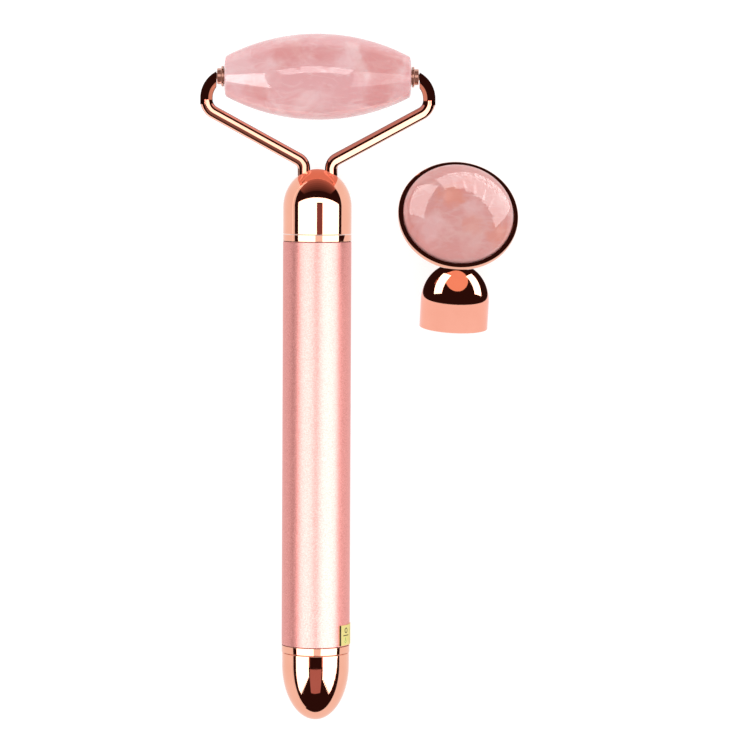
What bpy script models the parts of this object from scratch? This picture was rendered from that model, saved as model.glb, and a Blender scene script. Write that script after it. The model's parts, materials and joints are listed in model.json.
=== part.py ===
"""A vibrating face roller and its spare cabochon head, lying side by side on a flat surface.

Metres, +Z up. The handle's axis runs along Y with the roller at +Y, and the roller's own axis runs along X.
Every turned piece is drawn about the Z axis of the frame (an empty) that it is parented to.
"""

import math

import bmesh
import bpy
from mathutils import Matrix, Vector

MM = 0.001

# The handle, with heights along its axis from the tube's lower face.
TUBE_LENGTH = 97.3 * MM
TUBE_RADIUS = 8.2 * MM
TUBE_BORE = 7.7 * MM
UPPER_RING_LENGTH = 1.7 * MM
LOWER_RING_LENGTH = 1.83 * MM
RING_CHAMFER = 0.15 * MM
SEAT_GAP = 0.05 * MM
CAP_RIM_Z = TUBE_LENGTH + UPPER_RING_LENGTH

# The screw thread, the same at both ends of the handle and in the spare head: a round ridge on a plain wall.
THREAD_PITCH = 1.8 * MM
THREAD_CORE_RADIUS = 5.6 * MM
THREAD_BORE_RADIUS = 6.55 * MM
THREAD_RIDGE_RADIUS = 0.5 * MM
THREAD_SINK = 0.05 * MM
MALE_TURNS = 2.0
FEMALE_TURNS = 1.7
THREAD_STEPS = 16

# The dome cap of a head, with heights from its rim.
CAP_RADIUS = 8.2 * MM
CAP_WALL = 0.7 * MM
CAP_CYLINDER = 6.4 * MM
CAP_DOME = 9.15 * MM
CAP_INNER_DOME = 8.4 * MM
INSERT_LOW = 1.1 * MM
INSERT_HIGH = 6.7 * MM
MALE_START = 1.7 * MM
SEAL_RADIUS = 6.9 * MM
SEAL_THICKNESS = 0.42 * MM

# The battery cap.
END_RADIUS = 8.1 * MM
END_CYLINDER = 3.06 * MM
END_DOME = 13.4 * MM
END_WALL = 0.55 * MM
FOOT_THREAD_START = 0.35 * MM

# The roller and its yoke, with heights from the head cap's rim.
ROLLER_Z = 37.6 * MM
STONE_RADIUS = 10.3 * MM
STONE_END_RADIUS = 4.9 * MM
STONE_HALF_LENGTH = 22.4 * MM
STONE_SHOULDER = 21.9 * MM
STONE_BORE_RADIUS = 2.0 * MM
STONE_BORE_END = 16.4 * MM
WIRE_RADIUS = 1.5 * MM
YOKE_HALF_WIDTH = 26.65 * MM
YOKE_LEG_X = 3.25 * MM
YOKE_LEG_END = 7.5 * MM
FORK_Z = 17.2 * MM
FORK_BEND = 2.6 * MM
ELBOW_Z = 29.94 * MM
ELBOW_BEND = 3.5 * MM
TOP_BEND = 5.7 * MM
TOP_BEND_DROP = 5.2 * MM
TOP_BEND_END_DEG = 66
WIRE_END_X = 24.3 * MM
PIN_RADIUS = 0.76 * MM
PIN_BORE_RADIUS = 0.86 * MM
WIRE_HOLE_RADIUS = 1.66 * MM

# The spare head: the bezel's front rim plane is centred here in the cap's own frame, tipped back from its axis.
BEZEL_OFFSET_Y = 3.1 * MM
BEZEL_OFFSET_Z = 27.15 * MM
BEZEL_TIP_DEG = 52.0
BEZEL_RADIUS = 14.48 * MM
BEZEL_MOUTH_RADIUS = 13.45 * MM
BEZEL_DEPTH = 2.4 * MM
BEZEL_FLOOR = 0.7 * MM
BEZEL_ROUND = 1.2 * MM
CABOCHON_RADIUS = 13.3 * MM
CABOCHON_HEIGHT = 4.9 * MM
NECK_RADIUS = 1.2 * MM
SPARE_DISTANCE_X = 32.78 * MM
SPARE_DISTANCE_Y = 76.65 * MM
SPARE_LIFT_DEG = 8.12
SPARE_YAW_DEG = -2.6
SPARE_ROLL_DEG = 4.0

# The battery, an AA cell, and the motor.
BATTERY_LOW = 8.0 * MM
BATTERY_CAN = 49.5 * MM
BATTERY_RADIUS = 7.15 * MM
BUTTON_RADIUS = 2.75 * MM
BUTTON_HEIGHT = 1.0 * MM
CONTACT_Z = 58.8 * MM
CARRIER_Z = 59.5 * MM
MOTOR_Z = 74.0 * MM
MOTOR_LENGTH = 12.0 * MM
MOTOR_RADIUS = 4.0 * MM
SHAFT_RADIUS = 0.62 * MM
SHAFT_BORE = 0.8 * MM
LEAD_X = 2.2 * MM
LEAD_RADIUS = 0.35 * MM

SIDES = 32
SMALL_SIDES = 24
TINY_SIDES = 16
WIRE_STEPS = 6
DOME_STEPS = 7
MERGE = 0.00001


def clear_scene():
    for obj in list(bpy.data.objects):
        bpy.data.objects.remove(obj, do_unlink=True)


def new_collection(name):
    collection = bpy.data.collections.new(name)
    bpy.context.scene.collection.children.link(collection)
    return collection


clear_scene()
PARTS = new_collection("face_roller")
CUTTERS = new_collection("cutters")


def new_material(name, color, roughness, metallic):
    material = bpy.data.materials.new(name)
    material.use_nodes = True
    shader = material.node_tree.nodes["Principled BSDF"]
    shader.inputs["Base Color"].default_value = (*color, 1)
    shader.inputs["Roughness"].default_value = roughness
    shader.inputs["Metallic"].default_value = metallic
    material.diffuse_color = (*color, 1)
    return material


ROSE_GOLD = new_material("rose_gold", (0.90, 0.52, 0.40), 0.06, 1.0)
PINK_SATIN = new_material("pink_satin", (0.88, 0.50, 0.48), 0.35, 0.8)
ROSE_QUARTZ = new_material("rose_quartz", (0.80, 0.45, 0.45), 0.12, 0.0)
STEEL = new_material("steel", (0.60, 0.60, 0.61), 0.30, 1.0)
BRASS = new_material("brass", (0.75, 0.58, 0.28), 0.28, 1.0)
COPPER = new_material("copper_winding", (0.72, 0.34, 0.18), 0.35, 1.0)
TUNGSTEN = new_material("tungsten", (0.32, 0.32, 0.33), 0.40, 1.0)
FERRITE = new_material("ferrite", (0.09, 0.09, 0.10), 0.60, 0.0)
WHITE_PLASTIC = new_material("white_plastic", (0.82, 0.81, 0.78), 0.45, 0.0)
BLACK_PLASTIC = new_material("black_plastic", (0.04, 0.04, 0.05), 0.50, 0.0)
LINER = new_material("liner", (0.70, 0.68, 0.60), 0.50, 0.0)
BATTERY_WRAP = new_material("battery_wrap", (0.10, 0.22, 0.36), 0.30, 0.0)
SEAL_RUBBER = new_material("seal_rubber", (0.05, 0.05, 0.05), 0.70, 0.0)
RED_LEAD = new_material("red_lead", (0.60, 0.05, 0.05), 0.45, 0.0)
BLACK_LEAD = new_material("black_lead", (0.04, 0.04, 0.04), 0.45, 0.0)
LABEL_YELLOW = new_material("label_yellow", (0.93, 0.80, 0.30), 0.40, 0.0)
FOAM = new_material("foam_pad", (0.85, 0.85, 0.84), 0.90, 0.0)


def new_frame(name, parent, matrix):
    """An empty at this matrix within its parent."""
    frame = bpy.data.objects.new(name, None)
    frame.empty_display_size = 5 * MM
    PARTS.objects.link(frame)
    frame.parent = parent
    frame.matrix_local = matrix
    return frame


def link(name, data, frame, material):
    """A new object in this frame: a part if it has a material, and a cutter if not."""
    obj = bpy.data.objects.new(name, data)
    obj.parent = frame
    if material is None:
        CUTTERS.objects.link(obj)
        obj.hide_render = True
        obj.display_type = "WIRE"
    else:
        PARTS.objects.link(obj)
        data.materials.append(material)
    return obj


def smooth(obj, angle_deg=30):
    obj.data.shade_smooth()
    obj.data.set_sharp_from_angle(angle=math.radians(angle_deg))


def turned(name, profile, frame, material, sides=SIDES, closed=True):
    """A solid of revolution. The profile is (radius, height) points that run down its outer side.

    It is closed for a ring, and open for a solid whose first and last points lie on the axis.
    """
    edges = [(i, i + 1) for i in range(len(profile) - 1)]
    if closed:
        edges.append((len(profile) - 1, 0))
    mesh = bpy.data.meshes.new(name)
    mesh.from_pydata([(radius, 0, height) for radius, height in profile], edges, [])
    obj = link(name, mesh, frame, material)
    screw = obj.modifiers.new("turn", "SCREW")
    screw.steps = sides
    screw.render_steps = sides
    screw.use_merge_vertices = True
    screw.merge_threshold = MERGE
    screw.use_smooth_shade = True
    return obj


def disc(name, radius, low, high, frame, material, sides=SIDES):
    profile = [(0, high), (radius, high), (radius, low), (0, low)]
    return turned(name, profile, frame, material, sides, closed=False)


def ring(name, bore, radius, low, high, frame, material, sides=SIDES):
    profile = [(bore, high), (radius, high), (radius, low), (bore, low)]
    return turned(name, profile, frame, material, sides)


def chamfered_ring(name, bore, radius, low, high, frame, material):
    """A ring whose two outer edges are broken."""
    profile = [
        (bore, high),
        (radius - RING_CHAMFER, high),
        (radius, high - RING_CHAMFER),
        (radius, low + RING_CHAMFER),
        (radius - RING_CHAMFER, low),
        (bore, low),
    ]
    return turned(name, profile, frame, material)


def arc(centre, radii, start_deg, end_deg, steps):
    """Points on an ellipse's arc, as (across, up) pairs."""
    points = []
    for i in range(steps + 1):
        angle = math.radians(start_deg + (end_deg - start_deg) * i / steps)
        across = centre[0] + radii[0] * math.cos(angle)
        points.append((across, centre[1] + radii[1] * math.sin(angle)))
    return points


def flipped(profile):
    """The same profile upside down, still running down its outer side."""
    return [(radius, -height) for radius, height in reversed(profile)]


def add_boolean(obj, other, operation):
    boolean = obj.modifiers.new(operation.lower(), "BOOLEAN")
    boolean.operation = operation
    boolean.object = other


def mesh_from_curve(curve, material):
    """A mesh object in place of a curve object, with its caps welded on."""
    name = curve.name
    graph = bpy.context.evaluated_depsgraph_get()
    mesh = bpy.data.meshes.new_from_object(curve.evaluated_get(graph))
    frame = curve.parent
    bpy.data.objects.remove(curve, do_unlink=True)
    work = bmesh.new()
    work.from_mesh(mesh)
    bmesh.ops.remove_doubles(work, verts=work.verts, dist=MERGE)
    bmesh.ops.recalc_face_normals(work, faces=work.faces)
    work.to_mesh(mesh)
    work.free()
    mesh.name = name
    mesh.materials.clear()
    obj = link(name, mesh, frame, material)
    smooth(obj, 50)
    return obj


def wire(name, points, radius, frame, material, roundness=2):
    """A round wire with flat ends through these points."""
    data = bpy.data.curves.new(name, "CURVE")
    data.dimensions = "3D"
    data.bevel_depth = radius
    data.bevel_resolution = roundness
    data.use_fill_caps = True
    spline = data.splines.new("POLY")
    spline.points.add(len(points) - 1)
    for point, place in zip(spline.points, points):
        point.co = (*place, 1)
    curve = bpy.data.objects.new(name, data)
    curve.parent = frame
    CUTTERS.objects.link(curve)
    return mesh_from_curve(curve, material)


def plate(name, outlines, low, high, frame, material):
    """A flat plate square to the frame's axis, with the first outline as its edge and the others as holes."""
    data = bpy.data.curves.new(name, "CURVE")
    data.dimensions = "2D"
    data.fill_mode = "BOTH"
    data.extrude = (high - low) / 2
    for outline in outlines:
        spline = data.splines.new("POLY")
        spline.points.add(len(outline) - 1)
        spline.use_cyclic_u = True
        for point, (x, y) in zip(spline.points, outline):
            point.co = (x, y, 0, 1)
    curve = bpy.data.objects.new(name, data)
    curve.parent = frame
    CUTTERS.objects.link(curve)
    obj = mesh_from_curve(curve, material)
    obj.data.transform(Matrix.Translation((0, 0, (low + high) / 2)))
    return obj


def helix_points(radii, low, high, turns, steps):
    """Points up a right-hand helix whose radius goes evenly from the first of radii to the second."""
    points = []
    count = round(turns * steps)
    for i in range(count + 1):
        share = i / count
        radius = radii[0] + (radii[1] - radii[0]) * share
        angle = 2 * math.pi * turns * share
        points.append((radius * math.cos(angle), radius * math.sin(angle), low + (high - low) * share))
    return points


def add_thread(obj, radius, start, turns):
    """Joins a helical ridge to a plain wall of this radius, from the height start upwards."""
    high = start + turns * THREAD_PITCH
    points = helix_points((radius, radius), start, high, turns, THREAD_STEPS)
    ridge = wire(obj.name + "_ridge", points, THREAD_RIDGE_RADIUS, obj.parent, None, 1)
    add_boolean(obj, ridge, "UNION")


def add_male_thread(obj, start):
    add_thread(obj, THREAD_CORE_RADIUS + THREAD_SINK, start, MALE_TURNS)


def add_female_thread(obj, start):
    """The female ridge lies half a pitch from the male one that starts at the same height."""
    add_thread(obj, THREAD_BORE_RADIUS - THREAD_SINK, start + THREAD_PITCH / 2, FEMALE_TURNS)


# ---- Handle ----


def make_handle(frame):
    ring("handle_tube", TUBE_BORE, TUBE_RADIUS, SEAT_GAP, TUBE_LENGTH - SEAT_GAP, frame, PINK_SATIN)
    low, high = TUBE_LENGTH + SEAT_GAP, CAP_RIM_Z - SEAT_GAP
    chamfered_ring("upper_ring", 6.6 * MM, TUBE_RADIUS, low, high, frame, ROSE_GOLD)
    low, high = SEAT_GAP - LOWER_RING_LENGTH, -SEAT_GAP
    chamfered_ring("lower_ring", 6.95 * MM, TUBE_RADIUS, low, high, frame, ROSE_GOLD)
    make_head_spigot(frame)
    make_lower_bush(frame)
    make_switch_label(frame)


def make_head_spigot(frame):
    """A bushing in the tube's top, with a blind bore for the motor's weight and the male thread above."""
    low, bore = 87.2 * MM, 4.5 * MM
    sleeve_top = TUBE_LENGTH - 0.1 * MM
    neck_top = CAP_RIM_Z + 0.2 * MM
    top = CAP_RIM_Z + 6.2 * MM
    profile = [
        (0, top),
        (THREAD_CORE_RADIUS - 0.4 * MM, top),
        (THREAD_CORE_RADIUS, top - 0.4 * MM),
        (THREAD_CORE_RADIUS, neck_top),
        (6.35 * MM, neck_top),
        (6.35 * MM, sleeve_top),
        (7.5 * MM, sleeve_top),
        (7.5 * MM, low),
        (bore, low),
        (bore, top - 1.2 * MM),
        (0, top - 1.2 * MM),
    ]
    spigot = turned("head_spigot", profile, frame, BRASS, SMALL_SIDES, closed=False)
    add_male_thread(spigot, CAP_RIM_Z + MALE_START)


def make_lower_bush(frame):
    """A bushing in the tube's foot. Its thread matches the battery cap's, which is the head's upside down."""
    bush = ring("lower_bush", THREAD_BORE_RADIUS, 7.55 * MM, 0.2 * MM, 6.4 * MM, frame, BRASS, SMALL_SIDES)
    add_female_thread(bush, FOOT_THREAD_START)


def make_switch_label(frame):
    """A thin label bent round the tube, on its +X side. Angles are from the upper side, which is local -Y."""
    start_deg, end_deg = 44, 108
    low, high = 0.3 * MM, 5.3 * MM
    radius, thickness = 8.27 * MM, 0.1 * MM
    work = bmesh.new()
    bmesh.ops.create_grid(work, x_segments=12, y_segments=1, size=1)
    for vert in work.verts:
        share = (vert.co.x + 1) / 2
        angle = math.radians(start_deg + (end_deg - start_deg) * share)
        height = low + (high - low) * (vert.co.y + 1) / 2
        vert.co = (radius * math.sin(angle), -radius * math.cos(angle), height)
    mesh = bpy.data.meshes.new("switch_label")
    work.to_mesh(mesh)
    work.free()
    label = link("switch_label", mesh, frame, LABEL_YELLOW)
    solidify = label.modifiers.new("thickness", "SOLIDIFY")
    solidify.thickness = thickness
    solidify.offset = 1
    smooth(label)


# ---- Battery, contacts and motor ----


def make_battery(frame):
    top = BATTERY_LOW + BATTERY_CAN
    edge = 0.4 * MM
    profile = [
        (0, top),
        (BATTERY_RADIUS - edge, top),
        (BATTERY_RADIUS, top - edge),
        (BATTERY_RADIUS, BATTERY_LOW + edge),
        (BATTERY_RADIUS - edge, BATTERY_LOW),
        (0, BATTERY_LOW),
    ]
    turned("battery_can", profile, frame, BATTERY_WRAP, closed=False)
    low, high = top + SEAT_GAP, top + BUTTON_HEIGHT
    disc("battery_button", BUTTON_RADIUS, low, high, frame, STEEL, SMALL_SIDES)
    ring("battery_sleeve", 7.32 * MM, 7.58 * MM, 7.0 * MM, CARRIER_Z - 0.3 * MM, frame, LINER)
    disc("positive_contact", 3.6 * MM, CONTACT_Z, CONTACT_Z + 0.5 * MM, frame, BRASS, SMALL_SIDES)
    carrier = disc("contact_carrier", 7.45 * MM, CARRIER_Z, CARRIER_Z + 3.5 * MM, frame, WHITE_PLASTIC)
    for side in (-1, 1):
        hole = disc("lead_hole", 0.6 * MM, -4 * MM, 4 * MM, frame, None, TINY_SIDES)
        hole.location = (side * LEAD_X, 0, CARRIER_Z + 1.75 * MM)
        add_boolean(carrier, hole, "DIFFERENCE")


def make_leads(frame):
    """The positive lead runs from the contact to the motor, and the negative one from the motor to the tube."""
    low, high = CARRIER_Z + 3.7 * MM, MOTOR_Z - 0.3 * MM
    positive, negative = [(LEAD_X, 0, CARRIER_Z + 0.1 * MM)], []
    for i in range(13):
        share = i / 12
        sway = 1.2 * MM * math.sin(math.pi * share) ** 2
        positive.append((LEAD_X, sway, low + (high - low) * share))
        out = 4.6 * MM * (0.5 + 0.5 * math.cos(math.pi * share))
        negative.append((-LEAD_X - out, sway, high - 7 * MM * (1 - share)))
    wire("lead_positive", positive, LEAD_RADIUS, frame, RED_LEAD)
    wire("lead_negative", negative, LEAD_RADIUS, frame, BLACK_LEAD)


def make_motor(frame):
    low, high = MOTOR_Z, MOTOR_Z + MOTOR_LENGTH
    carrier_bore = MOTOR_RADIUS + 0.15 * MM
    ring("motor_carrier", carrier_bore, 7.45 * MM, low, high - 1.5 * MM, frame, WHITE_PLASTIC)
    profile = [
        (1.45 * MM, high),
        (MOTOR_RADIUS, high),
        (MOTOR_RADIUS, low),
        (3.65 * MM, low),
        (3.65 * MM, high - 0.5 * MM),
        (1.45 * MM, high - 0.5 * MM),
    ]
    turned("motor_can", profile, frame, STEEL, SMALL_SIDES)
    ring("motor_end_cap", SHAFT_BORE, 3.5 * MM, low + 0.1 * MM, low + 2.1 * MM, frame, BLACK_PLASTIC, SMALL_SIDES)
    ring("motor_magnet", 3.0 * MM, 3.5 * MM, low + 2.6 * MM, high - 1.2 * MM, frame, FERRITE, SMALL_SIDES)
    ring("motor_bush", SHAFT_BORE, 1.3 * MM, high - 1.4 * MM, high + 0.8 * MM, frame, BRASS, SMALL_SIDES)


def make_rotor(frame):
    low, high = MOTOR_Z, MOTOR_Z + MOTOR_LENGTH
    disc("motor_shaft", SHAFT_RADIUS, low + 1.0 * MM, high + 7.0 * MM, frame, STEEL, SMALL_SIDES)
    ring("motor_armature", SHAFT_BORE, 2.7 * MM, low + 2.8 * MM, high - 2.0 * MM, frame, COPPER, SMALL_SIDES)
    heavy_half = arc((0, 0), (3.7 * MM, 3.7 * MM), 0, 180, 14)
    hub_half = arc((0, 0), (1.6 * MM, 1.6 * MM), 180, 360, 8)
    hole = arc((0, 0), (SHAFT_BORE, SHAFT_BORE), 0, 337.5, 15)
    plate("eccentric_weight", [heavy_half + hub_half, hole], high + 2.2 * MM, high + 6.6 * MM, frame, TUNGSTEN)


# ---- Battery cap ----


def make_end_cap(frame):
    """Its frame's Z axis points outwards, with heights from the lower ring's outer face."""
    top = END_CYLINDER + END_DOME
    inner_top = END_DOME - END_WALL - 0.4 * MM
    bore = END_RADIUS - END_WALL
    outer = arc((0, END_CYLINDER), (END_RADIUS, END_DOME), 90, 0, DOME_STEPS)
    inner = arc((0, END_CYLINDER), (bore, inner_top), 0, 90, DOME_STEPS - 2)
    outer[0] = (0, top)
    inner[-1] = (0, END_CYLINDER + inner_top)
    profile = outer + [(END_RADIUS, SEAT_GAP), (bore, SEAT_GAP)] + inner
    turned("end_cap_shell", profile, frame, ROSE_GOLD, closed=False)

    flange_low, flange_high = 1.15 * MM, 3.4 * MM
    plug_end = LOWER_RING_LENGTH + 6.0 * MM
    bore = 4.5 * MM
    profile = [
        (0, flange_high),
        (7.3 * MM, flange_high),
        (7.3 * MM, flange_low),
        (THREAD_CORE_RADIUS, flange_low),
        (THREAD_CORE_RADIUS, -plug_end),
        (bore, -plug_end),
        (bore, flange_low + 1.2 * MM),
        (0, flange_low + 1.2 * MM),
    ]
    insert = turned("end_cap_insert", profile, frame, WHITE_PLASTIC, SMALL_SIDES, closed=False)
    add_male_thread(insert, -LOWER_RING_LENGTH - FOOT_THREAD_START - MALE_TURNS * THREAD_PITCH)
    disc("spring_plate", 4.3 * MM, 1.8 * MM, 2.2 * MM, frame, STEEL, SMALL_SIDES)
    battery_end = -LOWER_RING_LENGTH - BATTERY_LOW
    low, high = battery_end + 0.55 * MM, 1.35 * MM
    coil = helix_points((2.2 * MM, 3.6 * MM), low, high, 5.5, 12)
    wire("battery_spring", coil, 0.35 * MM, frame, STEEL, 1)


def make_seal(name, height, frame):
    """An O-ring about the frame's axis, six-sided in section."""
    section = arc((SEAL_RADIUS, height), (SEAL_THICKNESS, SEAL_THICKNESS), 90, -210, 5)
    turned(name, section, frame, SEAL_RUBBER, SMALL_SIDES)


# ---- Heads ----


def make_dome_cap(name, frame, wire_places, hole_radius):
    """The domed cap of a head, with a hole for each wire or post at its (x, y) place."""
    bore = CAP_RADIUS - CAP_WALL
    outer = arc((0, CAP_CYLINDER), (CAP_RADIUS, CAP_DOME), 90, 0, DOME_STEPS)
    inner = arc((0, CAP_CYLINDER), (bore, CAP_INNER_DOME), 0, 90, DOME_STEPS - 2)
    outer[0] = (0, CAP_CYLINDER + CAP_DOME)
    inner[-1] = (0, CAP_CYLINDER + CAP_INNER_DOME)
    profile = outer + [(CAP_RADIUS, SEAT_GAP), (bore, SEAT_GAP)] + inner
    cap = turned(name, profile, frame, ROSE_GOLD, closed=False)
    for place in wire_places:
        hole = disc(name + "_hole", hole_radius, 8 * MM, 20 * MM, frame, None, TINY_SIDES)
        hole.location = (*place, 0)
        add_boolean(cap, hole, "DIFFERENCE")
    return cap


def make_insert(name, frame):
    insert = ring(name, THREAD_BORE_RADIUS, 7.35 * MM, INSERT_LOW, INSERT_HIGH, frame, BRASS, SMALL_SIDES)
    add_female_thread(insert, MALE_START)


def bend(before, corner, after, radius, steps):
    """Points along the rounded corner between two straight runs, from the first run to the second."""
    into = (corner - before).normalized()
    out = (after - corner).normalized()
    half_turn = into.angle(out) / 2
    reach = radius * math.tan(half_turn)
    inward = (out - into).normalized()
    centre = corner + inward * (radius / math.cos(half_turn))
    start = corner - into * reach - centre
    points = []
    for i in range(steps + 1):
        share = i / steps
        spin = 2 * half_turn * share
        side = into if start.dot(into) < radius * 0.5 else out
        across = (side - start.normalized() * side.dot(start.normalized())).normalized()
        points.append(centre + start * math.cos(spin) + across * radius * math.sin(spin))
    return points


def yoke_path():
    """The right arm's centreline, as (x, 0, height) from the anchor up to the roller's end."""
    foot = Vector((YOKE_LEG_X, 0, YOKE_LEG_END))
    fork = Vector((YOKE_LEG_X, 0, FORK_Z))
    elbow = Vector((YOKE_HALF_WIDTH, 0, ELBOW_Z))
    top = Vector((YOKE_HALF_WIDTH, 0, ROLLER_Z - TOP_BEND_DROP))
    points = [foot]
    points += bend(foot, fork, elbow, FORK_BEND, WIRE_STEPS)
    points += bend(fork, elbow, top, ELBOW_BEND, WIRE_STEPS)
    centre = (YOKE_HALF_WIDTH - TOP_BEND, ROLLER_Z - TOP_BEND_DROP)
    for x, z in arc(centre, (TOP_BEND, TOP_BEND), 0, TOP_BEND_END_DEG, WIRE_STEPS + 2):
        points.append(Vector((x, 0, z)))
    return points


def make_yoke_arm(name, side, frame, roller_frame):
    """A bent wire cut square to the roller's axis, with a thin axle pin. side is 1 for +X and -1 for -X."""
    points = [(side * point.x, 0, point.z) for point in yoke_path()]
    arm = wire(name, points, WIRE_RADIUS, frame, ROSE_GOLD)
    ends = sorted((side * 15 * MM, side * WIRE_END_X))
    trim = disc(name + "_trim", 6 * MM, *ends, roller_frame, None, TINY_SIDES)
    add_boolean(arm, trim, "DIFFERENCE")
    ends = sorted((side * 18.0 * MM, side * (WIRE_END_X + 0.5 * MM)))
    pin = disc(name + "_pin", PIN_RADIUS, *ends, roller_frame, None, TINY_SIDES)
    add_boolean(arm, pin, "UNION")


def make_roller_head(frame, roller_frame):
    places = [(YOKE_LEG_X, 0), (-YOKE_LEG_X, 0)]
    make_dome_cap("head_cap", frame, places, WIRE_HOLE_RADIUS)
    make_insert("head_insert", frame)
    profile = [
        (0, 11.6 * MM),
        (5.5 * MM, 11.6 * MM),
        (6.5 * MM, 9.2 * MM),
        (6.8 * MM, 7.1 * MM),
        (0, 7.1 * MM),
    ]
    anchor = turned("yoke_anchor", profile, frame, BRASS, SMALL_SIDES, closed=False)
    for x, y in places:
        hole = disc("anchor_hole", WIRE_HOLE_RADIUS, 5 * MM, 15 * MM, frame, None, TINY_SIDES)
        hole.location = (x, y, 0)
        add_boolean(anchor, hole, "DIFFERENCE")
    make_yoke_arm("yoke_arm_right", 1, frame, roller_frame)
    make_yoke_arm("yoke_arm_left", -1, frame, roller_frame)


def make_roller(frame):
    """The barrel stone and the bush in each of its ends. The frame's Z axis is the roller's axis."""
    rise = STONE_RADIUS - STONE_END_RADIUS
    arc_radius = (STONE_SHOULDER**2 + rise**2) / (2 * rise)
    spread = math.degrees(math.asin(STONE_SHOULDER / arc_radius))
    centre = (STONE_RADIUS - arc_radius, 0)
    barrel = arc(centre, (arc_radius, arc_radius), spread, -spread, 14)
    end = [
        (0, STONE_BORE_END),
        (STONE_BORE_RADIUS, STONE_BORE_END),
        (STONE_BORE_RADIUS, STONE_HALF_LENGTH),
        (3.4 * MM, STONE_HALF_LENGTH - 0.1 * MM),
        (4.5 * MM, STONE_HALF_LENGTH - 0.25 * MM),
    ]
    turned("roller_stone", end + barrel + flipped(end), frame, ROSE_QUARTZ, closed=False)
    bush = [
        (PIN_BORE_RADIUS, 24.1 * MM),
        (1.95 * MM, 24.1 * MM),
        (1.95 * MM, 23.05 * MM),
        (2.5 * MM, 23.05 * MM),
        (2.5 * MM, 22.5 * MM),
        (1.85 * MM, 22.5 * MM),
        (1.85 * MM, 17.0 * MM),
        (PIN_BORE_RADIUS, 17.0 * MM),
    ]
    turned("roller_bush_right", bush, frame, STEEL, TINY_SIDES)
    turned("roller_bush_left", flipped(bush), frame, STEEL, TINY_SIDES)


def make_spare_head(frame, bezel_frame):
    make_dome_cap("spare_cap", frame, [(0, 0)], NECK_RADIUS + 0.15 * MM)
    make_insert("spare_insert", frame)
    profile = [
        (0, 24 * MM),
        (NECK_RADIUS, 24 * MM),
        (NECK_RADIUS, 13.5 * MM),
        (3.2 * MM, 13.5 * MM),
        (3.2 * MM, 12.2 * MM),
        (0, 12.2 * MM),
    ]
    neck = turned("spare_neck", profile, frame, ROSE_GOLD, TINY_SIDES, closed=False)
    above = disc("bezel_space", 20 * MM, -BEZEL_DEPTH - 0.05 * MM, 10 * MM, bezel_frame, None)
    add_boolean(neck, above, "DIFFERENCE")
    make_bezel(bezel_frame)


def make_bezel(frame):
    """A shallow cup round a cabochon on a pad. Heights are from the cup's rim."""
    floor = -BEZEL_DEPTH + BEZEL_FLOOR
    corner = (BEZEL_RADIUS - BEZEL_ROUND, BEZEL_ROUND - BEZEL_DEPTH)
    profile = [
        (0, floor),
        (BEZEL_MOUTH_RADIUS, floor),
        (BEZEL_MOUTH_RADIUS, -0.15 * MM),
        (BEZEL_MOUTH_RADIUS + 0.2 * MM, 0),
        (BEZEL_RADIUS - 0.2 * MM, 0),
        (BEZEL_RADIUS, -0.2 * MM),
    ]
    profile += arc(corner, (BEZEL_ROUND, BEZEL_ROUND), 0, -90, 4)
    profile.append((0, -BEZEL_DEPTH))
    turned("spare_bezel", profile, frame, ROSE_GOLD, closed=False)
    disc("spare_pad", 12.8 * MM, floor + 0.1 * MM, floor + 0.5 * MM, frame, FOAM)
    girdle = 0.2 * MM
    dome = arc((0, girdle), (CABOCHON_RADIUS, CABOCHON_HEIGHT), 90, 0, DOME_STEPS)
    dome[0] = (0, girdle + CABOCHON_HEIGHT)
    base = floor + 0.6 * MM
    turned("spare_stone", dome + [(CABOCHON_RADIUS, base), (0, base)], frame, ROSE_QUARTZ, closed=False)


# ---- Placing ----


def handle_matrix():
    """The handle's own frame, tilted so that the roller and the tube's foot both touch the floor."""
    span = CAP_RIM_Z + ROLLER_Z + LOWER_RING_LENGTH
    tilt = math.asin((STONE_RADIUS - TUBE_RADIUS) / span)
    foot_height = TUBE_RADIUS * math.cos(tilt) + LOWER_RING_LENGTH * math.sin(tilt)
    return Matrix.Translation((0, 0, foot_height)) @ Matrix.Rotation(tilt - math.pi / 2, 4, "X")


def spare_matrix():
    """The spare head's frame: lying on its rim and on the bezel's far edge, turned a little on both axes."""
    lift = math.radians(SPARE_LIFT_DEG)
    place = Matrix.Translation((SPARE_DISTANCE_X, SPARE_DISTANCE_Y, CAP_RADIUS * math.cos(lift)))
    yaw = Matrix.Rotation(math.radians(SPARE_YAW_DEG), 4, "Z")
    roll = Matrix.Rotation(math.radians(SPARE_ROLL_DEG), 4, "Z")
    return place @ yaw @ Matrix.Rotation(lift - math.pi / 2, 4, "X") @ roll


def centre_on_floor(root):
    """Moves the whole set so that the middle of its footprint is the origin and it rests on Z = 0."""
    graph = bpy.context.evaluated_depsgraph_get()
    low, high = Vector((math.inf,) * 3), Vector((-math.inf,) * 3)
    for obj in PARTS.objects:
        if obj.type != "MESH":
            continue
        solid = obj.evaluated_get(graph)
        for vert in solid.data.vertices:
            point = solid.matrix_world @ vert.co
            low = Vector(map(min, low, point))
            high = Vector(map(max, high, point))
    root.location = (-(low.x + high.x) / 2, -(low.y + high.y) / 2, -low.z)


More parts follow.
